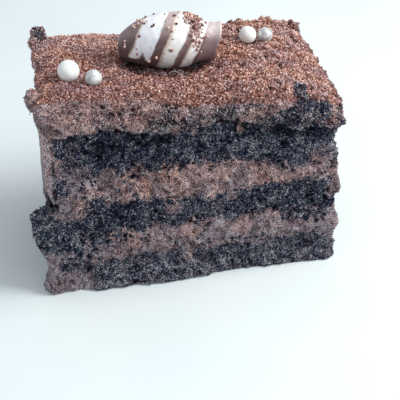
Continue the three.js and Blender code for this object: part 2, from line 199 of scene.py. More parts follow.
# Dry cocoa crumb, from dark to pale grains, the same where it has fallen on the shell, crumb left by the
# knife, torn cell walls drawn pale grey as painted light on their edges, and curls of mousse whose palest
# tones are painted glints.
COCOA_STOPS = [(0.0, "#40211d"), (0.17, "#693f37"), (0.5, "#a1736a"), (0.83, "#cba298"), (1.0, "#e6cdc6")]
FALLEN_STOPS = [(0.0, "#4b3231"), (0.4, "#b07d6f"), (1.0, "#f8ded3")]
LOOSE_STOPS = [(0.0, "#17151e"), (0.6, "#3c363e"), (1.0, "#9a9098")]
LIT_WALL_STOPS = [(0.0, "#383b48"), (0.5, "#6f717d"), (1.0, "#bcbcc4")]
CURL_GLINT_STOPS = [(0.0, "#4c3b3e"), (0.6, "#b3989a"), (1.0, "#fff5f3")]


def cake_material(name, umber_from, mingled, cocoa=False):
    """Baked chocolate sponge torn by the knife, with mousse dragged across it. The crumb is blue-black,
    umber in the patches where its noise is above umber_from, and laced with thin broken cell walls, with
    painted light on the walls and painted shade in the cells. The mousse is a warm brown, streaked, pitted
    and a little wet, with painted shade in its pits and painted glints. The two are mixed grain by grain,
    the more so the larger mingled is. The finest pattern is drawn at 0.34 mm, coarser than the real crumb,
    so that it shows."""
    material, tree, shader = new_material(name)
    coordinates = add(tree, "TexCoord", {}, {}, "Object")
    lying = {"Vector": coordinates, "Scale": (1.0, 1.0, 0.55), "Rotation": (0.0, math.radians(18), 0.0)}
    dragged = add(tree, "Mapping", {}, lying)
    noises = {}
    for key, vector, size, detail, distortion in [
            ("speck", coordinates, 0.34, 1.5, 0.0), ("fleck", coordinates, 0.7, 2.0, 0.0),
            ("patch", coordinates, 4.5, 3.0, 0.5), ("strand", dragged, 1.5, 2.5, 1.6),
            ("walls", coordinates, 1.0, 2.0, 0.9), ("drift", coordinates, 9.0, 2.0, 0.5)]:
        inputs = {"Vector": vector, "Scale": per_mm(size), "Detail": detail, "Roughness": 0.65,
                  "Distortion": distortion}
        noises[key] = add(tree, "TexNoise", {}, inputs)
    attributes = {key: add(tree, "Attribute", {"attribute_name": key}, {}, "Fac")
                  for key in ("relief", "ridge", "mousse", "wet", "cold")}

    # Cell walls are where the noise crosses its middle: thin, broken, wandering lines, painted lighter than
    # the cells as painted light. The ridge attribute lightens them more, with the painted light and shade of
    # ridge_light.
    across = add(tree, "Math", UNSIGNED, {0: add(tree, "Math", SUM, {0: noises["walls"], 1: -0.5})})
    lace = add(tree, "Math", CAPPED, {0: across, 1: -16.0, 2: 1.0})
    broken = add(tree, "Math", CAPPED, {0: noises["fleck"], 1: 4.0, 2: -1.6})
    lace = add(tree, "Math", PRODUCT, {0: lace, 1: broken})
    lace = add(tree, "Math", TIMES_PLUS, {0: noises["speck"], 1: 3.4, 2: lace})
    lace = add(tree, "Math", TIMES_PLUS, {0: noises["patch"], 1: 1.7, 2: lace})
    lace = add(tree, "Math", TIMES_PLUS, {0: attributes["ridge"], 1: 0.25, 2: lace})
    lace = add(tree, "Math", SUM, {0: lace, 1: -2.4})
    navy = add(tree, "ValToRGB", {"stops": NAVY_STOPS}, {"Fac": lace})
    umber = add(tree, "ValToRGB", {"stops": UMBER_STOPS}, {"Fac": lace})
    dry = add(tree, "Math", TIMES_PLUS, {0: attributes["cold"], 1: -0.4, 2: noises["drift"]})
    limits = {"Value": dry, "From Min": umber_from, "From Max": umber_from + 0.16}
    toasted = add(tree, "MapRange", {"interpolation_type": "SMOOTHSTEP"}, limits)
    sponge = add(tree, "Mix", {"data_type": "RGBA"}, {0: toasted, 6: navy, 7: umber}, 2)

    # Strands of mousse are drawn in the same way, longer upwards than across.
    across = add(tree, "Math", UNSIGNED, {0: add(tree, "Math", SUM, {0: noises["strand"], 1: -0.5})})
    strand = add(tree, "Math", CAPPED, {0: across, 1: -8.0, 2: 1.0})
    tone = add(tree, "Math", TIMES_PLUS, {0: noises["speck"], 1: 3.5, 2: -2.19})
    tone = add(tree, "Math", TIMES_PLUS, {0: strand, 1: 0.3, 2: tone})
    tone = add(tree, "Math", TIMES_PLUS, {0: noises["patch"], 1: 1.5, 2: tone})
    tone = add(tree, "Math", TIMES_PLUS, {0: attributes["ridge"], 1: 0.15, 2: tone})
    mousse = add(tree, "ValToRGB", {"stops": MOUSSE_STOPS}, {"Fac": tone})
    # Greyer where the knife has worked crumb into it, and towards the foot of the slice.
    height = add(tree, "SeparateXYZ", {}, {"Vector": coordinates}, "Z")
    limits = {"Value": height, "From Min": 4 * MM, "From Max": 36 * MM, "To Min": -0.13, "To Max": 0.04}
    lifted = add(tree, "MapRange", {}, limits)
    warmth = add(tree, "Math", SUM, {0: noises["drift"], 1: lifted})
    warmth = add(tree, "Math", TIMES_PLUS, {0: attributes["cold"], 1: -0.1, 2: warmth})
    tint_stops = [(0.36, "#d0d9e4"), (0.5, "#e4dfe3"), (0.58, "#fbf0ed"), (0.66, "#ffe9de")]
    tint = add(tree, "ValToRGB", {"stops": tint_stops}, {"Fac": warmth})
    mousse = add(tree, "Mix", DARKEN, {0: 1.0, 6: mousse, 7: tint}, 2)

    # The mousse's edge is broken up by the grain.
    dither = add(tree, "Math", SUM, {0: noises["speck"], 1: noises["fleck"]})
    dither = add(tree, "Math", TIMES_PLUS, {0: dither, 1: mingled, 2: -mingled})
    edge = add(tree, "Math", SUM, {0: dither, 1: attributes["mousse"]})
    limits = {"Value": edge, "From Min": 0.2, "From Max": 0.8}
    share = add(tree, "MapRange", {"interpolation_type": "SMOOTHSTEP"}, limits)
    colour = add(tree, "Mix", {"data_type": "RGBA"}, {0: share, 6: sponge, 7: mousse}, 2)

    if cocoa:
        dust_stops = [(0.34, "#54281f"), (0.5, "#8b5b50"), (0.66, "#c39384")]
        dust = add(tree, "ValToRGB", {"stops": dust_stops}, {"Fac": noises["speck"]})
        powder = add(tree, "Attribute", {"attribute_name": "cocoa"}, {}, "Fac")
        colour = add(tree, "Mix", {"data_type": "RGBA"}, {0: powder, 6: colour, 7: dust}, 2)

    # Pits are darker and bluer, as less light gets into them.
    depth = add(tree, "MapRange", {}, {"Value": attributes["relief"], "From Min": -1.4, "From Max": 0.5})
    pit_stops = [(0.0, "#4d5068"), (0.3, "#94929f"), (0.6, "#eae8ea"), (0.8, "#ffffff")]
    pit = add(tree, "ValToRGB", {"stops": pit_stops}, {"Fac": depth})
    colour = add(tree, "Mix", DARKEN, {0: 1.0, 6: colour, 7: pit}, 2)
    tree.links.new(colour, shader.inputs["Base Color"])

    limits = {"Value": attributes["wet"], "To Min": 0.5, "To Max": 0.2}
    tree.links.new(add(tree, "MapRange", {}, limits), shader.inputs["Roughness"])
    shine = add(tree, "MapRange", {}, {"Value": share, "To Min": 0.15, "To Max": 0.5})
    tree.links.new(shine, shader.inputs["Specular IOR Level"])
    fine = add(tree, "Math", TIMES_PLUS, {0: noises["speck"], 1: 0.8, 2: noises["fleck"]})
    fine = add(tree, "Math", TIMES_PLUS, {0: lace, 1: 0.5, 2: fine})
    crumbled = add(tree, "Bump", {}, {"Height": fine, "Strength": 0.9, "Distance": 0.5 * MM})
    tree.links.new(crumbled, shader.inputs["Normal"])
    return material


def crumb_material(name, stops, roughness=0.8):
    """Loose crumb: each grain has a tone of its own, and its dry, dusty surface has no shine. Crumb of wet
    mousse is given a lower roughness, and glints."""
    material, tree, shader = new_material(name)
    coordinates = add(tree, "TexCoord", {}, {}, "Object")
    fine = add(tree, "TexNoise", {}, {"Vector": coordinates, "Scale": per_mm(0.4), "Detail": 2.0})
    own_tone = add(tree, "Attribute", {"attribute_name": "tone"}, {}, "Fac")
    tone = add(tree, "Math", TIMES_PLUS, {0: fine, 1: 0.4, 2: own_tone})
    tone = add(tree, "Math", SUM, {0: tone, 1: -0.2})
    colour = add(tree, "ValToRGB", {"stops": stops}, {"Fac": tone})
    drift = add(tree, "TexNoise", {}, {"Vector": coordinates, "Scale": per_mm(8.0), "Detail": 2.0})
    tint_stops = [(0.38, "#d6d3dd"), (0.5, "#f7f3f3"), (0.62, "#fff3e6")]
    tint = add(tree, "ValToRGB", {"stops": tint_stops}, {"Fac": drift})
    colour = add(tree, "Mix", DARKEN, {0: 1.0, 6: colour, 7: tint}, 2)
    tree.links.new(colour, shader.inputs["Base Color"])
    shader.inputs["Roughness"].default_value = roughness
    shader.inputs["Specular IOR Level"].default_value = 0.2
    dusty = add(tree, "Bump", {}, {"Height": fine, "Strength": 0.5, "Distance": 0.2 * MM})
    tree.links.new(dusty, shader.inputs["Normal"])
    return material


def shell_material():
    """Moulded chocolate, brown and white poured together: satin stripes with soft marbled edges, each drawn
    paler where it faces up and darker below, as painted light and shade.
    """
    material, tree, shader = new_material("marbled_chocolate_moulded")
    coordinates = add(tree, "TexCoord", {}, {}, "Object")
    wander = add(tree, "TexNoise", {}, {"Vector": coordinates, "Scale": per_mm(5.0)})
    streak = add(tree, "TexNoise", {}, {"Vector": coordinates, "Scale": per_mm(1.6), "Detail": 3.0})
    wander_reach, streak_reach = 1.6, 0.5  # how far the two noises move a stripe's edge, in millimetres
    along = add(tree, "Attribute", {"attribute_name": "stripe"}, {}, "Fac")  # millimetres from the tip
    along = add(tree, "Math", TIMES_PLUS, {0: wander, 1: wander_reach, 2: along})
    along = add(tree, "Math", TIMES_PLUS, {0: streak, 1: streak_reach, 2: along})
    drift = (wander_reach + streak_reach) / 2  # what the two noises add on the whole
    # Where the stripes begin and end, in millimetres, with their colours above, paler as painted light from
    # above, and below, darker as painted shade.
    white, milky = ("#fafeff", "#f3f2f7"), ("#fafeff", "#f6f5f0")
    brown, lilac, cream = ("#c2b0ac", "#664c4a"), ("#dacbc9", "#856b6c"), ("#f3e3d2", "#c3ab97")
    deep = ("#8f7876", "#5a4341")
    edges = [(-3, deep), (4.8, deep), (5.5, cream), (6.1, white), (12.5, white), (13.0, brown),
             (15.8, brown), (16.2, cream), (18.0, milky), (21.3, milky), (21.8, lilac), (23.6, brown),
             (24.1, cream), (24.8, milky), (27.2, milky), (27.8, brown), (29.0, lilac), (37, lilac)]
    first, last = edges[0][0], edges[-1][0]
    spread = 1 / (last - first)
    position = add(tree, "Math", TIMES_PLUS, {0: along, 1: spread, 2: -(first + drift) * spread})
    sides = []
    for side in (0, 1):
        stops = [((mm - first) * spread, tones[side]) for mm, tones in edges]
        sides.append(add(tree, "ValToRGB", {"stops": stops}, {"Fac": position}))
    # the first ramp is the painted light on the stripes' upper side, the second the painted shade below
    lit_from_above, shaded_below = sides
    lift = add(tree, "Attribute", {"attribute_name": "lift"}, {}, "Fac")
    colour = add(tree, "Mix", {"data_type": "RGBA"}, {0: lift, 6: shaded_below, 7: lit_from_above}, 2)
    poured = add(tree, "Attribute", {"attribute_name": "poured"}, {}, "Fac")
    colour = add(tree, "Mix", {"data_type": "RGBA"}, {0: poured, 6: colour, 7: rgb(brown[1])}, 2)
    cloud_stops = [(0.3, "#d9d5d8"), (0.6, "#ffffff")]
    cloudy = add(tree, "ValToRGB", {"stops": cloud_stops}, {"Fac": streak})
    colour = add(tree, "Mix", DARKEN, {0: 0.6, 6: colour, 7: cloudy}, 2)
    tree.links.new(colour, shader.inputs["Base Color"])
    shader.inputs["Roughness"].default_value = 0.45
    shader.inputs["IOR"].default_value = 1.47
    shader.inputs["Coat Weight"].default_value = 0.2
    shader.inputs["Coat Roughness"].default_value = 0.3
    rippled = add(tree, "Bump", {}, {"Height": streak, "Strength": 0.15, "Distance": 0.3 * MM})
    tree.links.new(rippled, shader.inputs["Normal"])
    return material


def pearl_material(name, light, dark, metallic, roughness):
    """Panned sugar with a lustre coat: softly shining, with faint pits left by the panning drum."""
    material, tree, shader = new_material(name)
    coordinates = add(tree, "TexCoord", {}, {}, "Object")
    cloudy = add(tree, "TexNoise", {}, {"Vector": coordinates, "Scale": per_mm(1.4), "Detail": 3.0})
    stops = [(0.35, dark), (0.62, light)]
    tree.links.new(add(tree, "ValToRGB", {"stops": stops}, {"Fac": cloudy}), shader.inputs["Base Color"])
    shader.inputs["Metallic"].default_value = metallic
    shader.inputs["Roughness"].default_value = roughness
    shader.inputs["Sheen Weight"].default_value = 0.2
    dented = add(tree, "Bump", {}, {"Height": cloudy, "Strength": 0.25, "Distance": 0.25 * MM})
    tree.links.new(dented, shader.inputs["Normal"])
    return material


def floor_material():
    """A matt pale board: almost white, with the slightest mottle."""
    material, tree, shader = new_material("pale_matt_board")
    coordinates = add(tree, "TexCoord", {}, {}, "Object")
    mottle = add(tree, "TexNoise", {}, {"Vector": coordinates, "Scale": per_mm(60.0)})
    stops = [(0.3, "#e0eaea"), (0.7, "#e6eeee")]
    tree.links.new(add(tree, "ValToRGB", {"stops": stops}, {"Fac": mottle}), shader.inputs["Base Color"])
    shader.inputs["Roughness"].default_value = 0.7
    return material


# ---- mesh tools ----
def link_piece(name, mesh, material, nodes=()):
    """A finished piece: its faces smooth, with its material, hung on the root body, and with the nodes that
    it stands for hidden.
    """
    piece = bpy.data.objects.new(name, mesh)
    bpy.context.scene.collection.objects.link(piece)
    mesh.materials.clear()
    mesh.materials.append(material)
    for face in mesh.polygons:
        face.use_smooth = True
    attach(piece, "root")
    if nodes:
        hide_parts(*nodes)
    return piece


def finished_mesh(name, bm):
    """A mesh of a bmesh, which is then let go."""
    mesh = bpy.data.meshes.new(name)
    bm.to_mesh(mesh)
    bm.free()
    return mesh


def write_attribute(mesh, name, values):
    mesh.attributes.new(name, "FLOAT", "POINT").data.foreach_set("value", values)


def surface_of(*pieces):
    """One search tree over the faces of several pieces or solids."""
    bm = bmesh.new()
    for piece in pieces:
        bm.from_mesh(piece.data)
    found = BVHTree.FromBMesh(bm)
    bm.free()
    return found


def fine_mesh(node, voxel):
    """The node's solid, its loose triangles merged, again as even, small quads."""
    bm = bmesh.new()
    bm.from_mesh(bpy.data.objects[node].data)
    bmesh.ops.remove_doubles(bm, verts=bm.verts, dist=1e-6)
    rough = finished_mesh(node + "_rough", bm)
    helper = bpy.data.objects.new(node + "_rough", rough)
    bpy.context.scene.collection.objects.link(helper)
    remesh = helper.modifiers.new("even", "REMESH")
    remesh.mode, remesh.voxel_size, remesh.use_smooth_shade = "VOXEL", voxel * MM, True
    evaluated = helper.evaluated_get(bpy.context.evaluated_depsgraph_get())
    mesh = bpy.data.meshes.new_from_object(evaluated)
    bpy.data.objects.remove(helper)
    bpy.data.meshes.remove(rough)
    return mesh


# The middle of a layer, out of sight between its neighbours: left, right, front and back, in millimetres.
HIDDEN = (8.0, 92.0, 7.0, 51.0)


def join_hidden_faces(bm, both):
    """Makes one face of the hidden middle of a layer's floor, and of its roof too if both."""
    left, right, front, back = HIDDEN
    for side in (-1, 1) if both else (-1,):
        hidden = []
        for face in bm.faces:
            spot = own(face.calc_center_median())
            if face.normal.z * side > 0.8 and left < spot.x < right and front < spot.y < back:
                hidden.append(face)
        bmesh.ops.dissolve_faces(bm, faces=hidden, use_verts=True)


SHELL_AXIS = (45.5, 29.5)  # the shell's middle on the frosting
SHELL_TURN = math.radians(-8.6)  # its neck is nearer the front than its tip


def from_shell(x, y):
    """How far a place on the frosting is from the shell's middle, along the shell and across it."""
    dx, dy = x - SHELL_AXIS[0], y - SHELL_AXIS[1]
    along = dx * math.cos(SHELL_TURN) + dy * math.sin(SHELL_TURN)
    return along, dy * math.cos(SHELL_TURN) - dx * math.sin(SHELL_TURN)


# ---- relief of the cut faces, all in millimetres ----
def cloud(p, size):
    """Soft uneven noise whose largest lumps are size millimetres across."""
    return noise.fractal(p / size, 0.75, 2.1, 3, noise_basis="PERLIN_ORIGINAL")


def crumb_relief(p):
    """Torn sponge: open cells between thin broken walls, and larger pores. Gives the relief and how much of
    it is wall."""
    near = noise.voronoi((p + 0.5 * noise.noise_vector(p / 1.3)) / 1.7)[0]
    wall = (1 - smooth(near[1] - near[0], 0.04, 0.36)) * smooth(noise.noise(p / 1.2), -0.35, 0.25)
    pore = noise.voronoi((p + Vector((31, 17, 7))) / 3.0)[0][0]
    hole = 1 - smooth(pore, 0.18, 0.42)
    tear = 1 - 3.2 * abs(noise.noise(Vector((p.x, p.y, p.z * 0.7)) / 2.1))
    relief = 0.9 * cloud(p, 4.5) + 0.4 * (wall - 0.35) + 0.5 * tear - 0.8 * hole
    return relief + 0.22 * noise.noise(p / 0.6), wall


def mousse_relief(p):
    """Mousse dragged by the knife: wandering upright strands, small burst bubbles. Gives the relief and how
    much of it is strand."""
    dragged = Vector((p.x, p.y, p.z * 0.5 + 0.2 * p.x))
    dragged += 1.6 * noise.noise_vector(p / 3.6)
    strand = 1 - abs(noise.noise(dragged / 1.05)) * 2.6
    fold = 1 - abs(noise.noise((dragged + Vector((9, 4, 2))) / 2.6)) * 2.4
    bubble = noise.voronoi((p + Vector((5, 50, 12))) / 1.8)[0][0]
    burst = 1 - smooth(bubble, 0.18, 0.36)
    folds = 0.25 * strand + 0.4 * fold - 0.4
    return folds - 0.25 * burst + 0.3 * cloud(p, 4.2) + 0.12 * noise.noise(p / 0.7), max(strand, 0)


def cocoa_relief(p):
    """Cocoa crumb lying on the top: a bed of small round grains, which towards the right has caked into
    clods of about two millimetres with crevices between them."""
    grain = 0.5 - noise.voronoi(p / 0.95)[0][0]
    coarse = smooth(p.x + p.y * 0.4, 40, 85)
    clod = 0.45 - noise.voronoi((p + 0.6 * noise.noise_vector(p / 1.5)) / 2.3)[0][0]
    crevice = smooth(noise.noise((p + Vector((8, 3, 1))) / 2.8), 0.1, 0.5)
    relief = 0.3 * grain + 0.1 * noise.noise(p / 0.5) + blend(0.5, 0.9, coarse) * cloud(p, 3.6)
    return relief + coarse * (1.3 * clod - 0.9 * crevice)


def drag(p):
    """How far mousse is dragged over sponge here (or, below 0, crumb over mousse)."""
    pulled = Vector((p.x, p.y, p.z * 0.6))
    return 1.9 * noise.noise(pulled / 6.5) + 1.9 * cloud(pulled, 2.6) + 1.0 * noise.noise(p / 1.0)


def caught(p, is_mousse):
    """Clots of crumb caught inside the mousse (below 0), in some places more than in others, and a few
    smears of mousse left on the sponge (above 0)."""
    region = noise.noise((p + Vector((3, 8, 5))) / 11.0)
    clot = noise.noise((p + Vector((70, 20, 5))) / 1.7) + 0.5 * noise.noise((p + Vector((7, 2, 50))) / 0.8)
    if is_mousse:
        return -5.5 * smooth(clot + 0.5 * region, 0.16, 0.5)
    return 4.0 * smooth(clot + 0.4 * region, 0.5, 0.75)


# Places near the front face and on top where crumb is caught on mousse (below 0) or mousse on crumb (above
# 0): the middle and the half sizes, in millimetres, and the strength.
SMEARS = [
    ((22, 1, 69), (5.5, 6, 4.5), -1.2),  # dark clots along the frosting's front edge
    ((40, 0, 66), (9.5, 5, 4.6), -1.2),
    ((58.5, 0, 65.2), (5, 4, 4.8), -1.3),
    ((66.5, 0, 66), (3.4, 3, 1.7), -1.6),
    ((84, 4.5, 68), (2.9, 5, 3), -4.0),
    # the next two are dark crumb low on the frosting's right end, partly the crumb itself and partly painted
    # shade
    ((81, 0, 60.0), (12, 4, 3.4), -4.0),
    ((87, 0, 62.5), (7.5, 4, 4.0), -4.0),
    ((85.5, 1, 67), (5.5, 5, 2.6), -1.3),
    ((97, 0, 65), (4, 4, 6), 2.0),
    ((2, 56, 70), (4, 5, 5), -5.0),  # dark lumps at the corners of the frosting
    ((-1, 10.5, 69.2), (3.6, 4.6, 3.8), -5.0),
    ((8, 0, 66), (8, 4, 6), 1.8),  # clean mousse between them
    ((30, 0, 63), (4, 3, 2.2), 1.8),
    ((67.5, 0, 61.4), (4.6, 3, 2.4), 2.0),
    ((90, 1, 66), (3.2, 4, 3), 1.6),
    ((12, 0, 38.4), (10, 4, 4.4), -3.4),  # crumb worked into the fillings
    ((27, 0, 18), (7, 3, 2.6), -3.0),
    ((86, 0, 20), (9, 3, 2.6), -2.4),
    ((12, 0, 15), (5, 3, 2.6), -1.6),
    ((6, 0, 34), (7, 4, 6), 3.2),
    ((58, 0, 40), (22, 4, 5), 3.0),  # clean mousse in the middle of the fillings
    ((62, 0, 18.4), (11, 3, 3), 2.6),
    ((5, 0, 3.5), (8, 6, 5.5), 2.2),  # the smear at the front left foot
    ((3.5, 0, 17.5), (7.5, 7, 7.5), -3.2),  # crumb over the lower filling's left end
    ((46, 0, 12), (1.7, 3, 6.2), 4.5),  # drips and bits of mousse on the sponge
    ((41.4, 0, 60), (1.1, 3, 2.5), 4.5),
    ((48.4, 0, 58.3), (1.0, 3, 2.1), 4.5),
    ((63.8, 0, 57), (1.2, 3, 2.2), 4.5),
    ((41, 0, 30), (4, 3, 3.4), 1.3),
    ((61, 0, 31.6), (3.4, 3, 2.2), 1.8),
    ((92, 0, 45), (7, 3, 4), 1.5),
    ((8.5, 0, 50), (6.5, 3, 9), 0.9),
    ((98, 2, 33), (2.6, 5, 5), 3.6),
    ((20, 0, 46), (2.6, 3, 2), 2.6),
]


def smear(p):
    """How much the smears add here, together."""
    together = 0.0
    for middle, half, strength in SMEARS:
        away = math.sqrt(sum(((p[i] - middle[i]) / half[i]) ** 2 for i in range(3)))
        together += strength * (1 - smooth(away, 0.55, 1.2))
    return together


SPONGES = ["sponge_bottom", "sponge_middle", "sponge_top"]
FILLINGS = ["filling_lower", "filling_upper", "frosting"]
SEAM = 0.25  # how far a layer reaches over the gap to its neighbour
RING_DEPTH = 0.4  # how far the shell presses the frosting down in a ring round it


def film(p):
    """A thin film of mousse wiped over the sponge, thicker at the foot of the slice and low on the top
    sponge: the least level of mousse here."""
    foot = 0.9 * (1 - smooth(p.z, 12, 20))
    high = 0.7 * (1 - smooth(abs(p.z - 47), 1, 5)) * (1 - smooth(p.x, 60, 90))
    return -1.5 + (foot + high) + 0.7 * cloud(p, 2.6)


def cocoa_share(p, normal):
    """How much cocoa lies here: none on the sides, nor along the frosting's front edge, which is bare
    further in to the left than to the right."""
    edge = blend(4.2, 0.6, smooth(p.x, 28, 52)) + 1.5 * cloud(p, 3.0) + 0.8 * noise.noise(p / 1.2)
    return smooth(normal.z, 0.2, 0.7) * smooth(p.y, edge - 0.8, edge + 0.8)


def torn_edge(p):
    """The frosting's torn front band: lumps and curls of one to four millimetres."""
    lumps = 1.5 * noise.noise(p / 5.5) + 0.8 * noise.noise((p + Vector((4, 9, 3))) / 2.4)
    return 0.7 * lumps + 0.45 * (1 - 3 * abs(noise.noise(p / 1.15)))


def mingled_level(p):
    """The most mousse in the frosting's torn sides: fairly clean to the left, full of crumb to the right,
    and there the more so the lower it is. The dark crumb low on the band is partly the crumb itself and
    partly painted shade under the frosting's top edge."""
    right, middle = smooth(p.x, 28, 42), smooth(p.x, 30, 36) * (1 - smooth(p.x, 60, 66))
    low = 1 - smooth(p.z, 62.5, 66.5)
    level = 2.4 - right * (1.0 + 0.5 * low) - 2.0 * middle * low - 0.6 * smooth(p.x, 72, 84)
    return level + 1.7 * cloud(p, 3.0)


def hollow_under_frosting(p):
    """Where the top sponge is torn away under the frosting's front edge. Its relief also darkens the colour
    there, as painted shade.
    """
    torn = smooth(p.z, 50, 55) * smooth(p.x, 3, 8) * (1 - smooth(p.x, 95, 98)) * (1 - smooth(p.y, 3, 6))
    return torn * (0.5 + 0.5 * smooth(p.x, 78, 86))


def left_foot(p):
    """The lower left of the slice, where the knife has smeared crumb and mousse to a cold grey-brown."""
    return (1 - smooth(p.x, 12, 34)) * (1 - smooth(p.z, 50, 60))


def inward(p):
    """How far the two ends of the slice are drawn in from the solid."""
    if p.x < 50:
        return 0.1
    return 0.4 + 1.0 * smooth(p.z, 30, 42) * (1 - smooth(p.z, 50, 60)) * (1 - smooth(p.y, 15, 45))


def shell_shadow_ring(p):
    """A ring round the shell's foot that holds a painted shadow: the frosting there is drawn as dark crumb,
    its cocoa is sparse and darker, and it is pressed down a little.
    """
    along, across = from_shell(p.x, p.y)
    away = math.hypot((along + 2.6) / 14.0, (across + 3.6) / 9.4) + 0.15 * noise.noise(p / 2.0)
    return 1 - smooth(away, 0.86, 1.12)


def coat_share(p):
    """How much of the frosting here is the smooth coat down the left side."""
    return (1 - smooth(p.x, 0.8, 3.2)) * (1 - smooth(p.z, 60, 66))


def mousse_level(node, p, distance):
    """How far the mousse wins over the crumb here, before the smears: above 0 it covers it. The distance is
    to the nearest layer of the other kind."""
    is_mousse = node in FILLINGS
    level = max((distance if is_mousse else -distance) + drag(p) + caught(p, is_mousse), film(p))
    if node != "frosting":
        return level
    if p.x > 2:
        level = min(level, mingled_level(p))
    return level + 2.5 * coat_share(p)


def ridge_light(node, p, coat):
    """How much more than elsewhere the ridges catch the light here, or less: painted light and painted
    shade, among them a painted highlight along the frosting coat's front left edge.
    """
    if node == "frosting":
        low_left = (1 - smooth(p.x, 16, 40)) * (1 - smooth(p.z, 61, 66)) * smooth(p.z, 52, 56)
        return 0.9 * low_left + 1.2 * coat * (1 - smooth(p.y, 0.5, 2.5))
    if node == "sponge_bottom":
        return 0.3
    if node in FILLINGS:
        return 0.0
    light = -0.35 * (1 - smooth(p.x, 30, 60))
    if node == "sponge_middle":
        light += 0.9 * (1 - smooth(p.x, 5, 12)) * (1 - smooth(p.y, 5, 12))
    return light


def coldness(node, p):
    """How grey the crumb and the mousse are here: most at the right end and at the lower left."""
    cold = max(smooth(p.x, 70, 78) * (1 - smooth(p.z, 63, 67)), left_foot(p))
    return max(cold, 0.4) if node == "sponge_bottom" else cold


def towards_coat(node, p):
    """How far the layers' front left corner reaches left, to close up to the coat."""
    if node == "frosting" or p.z <= 36:
        return 0.0
    return 0.7 * (1 - smooth(p.x, 4.2, 6)) * (1 - smooth(p.y, 2, 4))


ATTRIBUTES = ("relief", "ridge", "mousse", "wet", "cold", "cocoa")


def torn_spot(node, p, normal, distance):
    """What the knife has left at one spot of a layer: how far it stands out from the solid, in millimetres,
    and the values of its attributes."""
    frosted = node == "frosting"
    smeared = smear(p) if p.y < 10 or p.z > 66 else 0.0  # there are none elsewhere
    # foot is the ring of painted shadow round the shell: it turns the frosting to dark crumb, thins its
    # cocoa and presses it down a little.
    foot = shell_shadow_ring(p) if frosted else 0.0
    share = smooth(mousse_level(node, p, distance) + (smeared - 4.0 * foot), -1.5, 1.5)
    crumb, wall = crumb_relief(p)
    folds, strand = mousse_relief(p)
    relief, ridge = blend(crumb, folds, share), blend(wall, strand, share)
    coat, cocoa = 0.0, 0.0
    if frosted:
        coat = coat_share(p)
        cocoa = cocoa_share(p, normal) * smooth(smeared, -3.0, -1.0) * (1 - 0.8 * foot)
        relief = blend(relief + torn_edge(p), 0.5 * relief, coat)
        relief = blend(relief, cocoa_relief(p), cocoa)
        relief += 0.6 * smooth(-smeared, 1.0, 4.0) * (1 - cocoa)
    if node == "sponge_top":
        relief -= 0.8 * hollow_under_frosting(p)
    end = smooth(abs(normal.x), 0.5, 0.9) * (1 - cocoa)
    relief *= 1 - 0.4 * end
    out = (relief - RING_DEPTH * foot - inward(p) * end) * smooth(p.z, 0.0, 0.8)
    out += SEAM * (1 - smooth(distance, 0.5, 1.3)) * (1 - cocoa)
    wet = smooth(p.z, 56, 62) * (1 - cocoa) if frosted else 0.35 * share
    wet = max(wet, 0.8 * coat)
    return out, (relief, ridge + ridge_light(node, p, coat), share, wet, coldness(node, p), cocoa)


def torn_layer(node, others, material, slot, voxel):
    """A layer with its torn relief, and with its neighbours' crumb or mousse dragged over its edges."""
    mesh = fine_mesh(node, voxel)
    bm = bmesh.new()
    bm.from_mesh(mesh)
    join_hidden_faces(bm, both=node != "frosting")
    bm.normal_update()
    spots = []
    for vertex in bm.verts:
        start, normal = vertex.co.copy(), vertex.normal.copy()
        p = own(start)
        distance = others.find_nearest(start)[3] / MM
        out, attributes = torn_spot(node, p, normal, distance)
        vertex.co = start + normal * (out * MM)
        vertex.co.x -= towards_coat(node, p) * MM
        vertex.co.z = max(vertex.co.z, 0.0)
        spots.append(attributes)
    bm.to_mesh(mesh)
    bm.free()
    for name, values in zip(ATTRIBUTES, zip(*spots)):
        if name != "cocoa" or node == "frosting":
            write_attribute(mesh, name, values)
    return link_piece(node + "_cut", mesh, material, [node])


# ---- loose crumb, as joined grains ----
def grain_forms(count, seed):
    """A few uneven grains of twenty faces, a millimetre across before they are scaled."""
    draw = random.Random(seed)
    forms = []
    for _ in range(count):
        bm = bmesh.new()
        bmesh.ops.create_icosphere(bm, subdivisions=1, radius=0.5)
        for vertex in bm.verts:
            vertex.co *= draw.uniform(0.75, 1.25)
        bm.verts.ensure_lookup_table()
        points = np.array([vertex.co[:] for vertex in bm.verts])
        faces = np.array([[vertex.index for vertex in face.verts] for face in bm.faces])
        forms.append((points, faces))
        bm.free()
    return forms


def joined_grains(name, spots, forms, material, seed, long=1.0):
    """One piece of many grains. A spot is a place in metres, a size in millimetres and a tone. A grain is
    `long` times as long as it is wide."""
    draw = random.Random(seed)
    points, faces, tones = [], [], []
    start = 0
    for spot, size, tone in spots:
        form, corners = draw.choice(forms)
        turn = Euler([draw.uniform(0, math.tau) for _ in range(3)]).to_matrix()
        stretch = np.array([draw.uniform(0.75, 1.25) for _ in range(3)]) * size * MM * (1, 1, long)
        points.append((form * stretch) @ np.array(turn).T + np.array(spot))
        faces.append(corners + start)
        tones.append(np.full(len(form), tone))
        start += len(form)
    mesh = bpy.data.meshes.new(name)
    mesh.from_pydata(np.concatenate(points).tolist(), [], np.concatenate(faces).tolist())
    write_attribute(mesh, "tone", np.concatenate(tones).tolist())
    return link_piece(name, mesh, material)


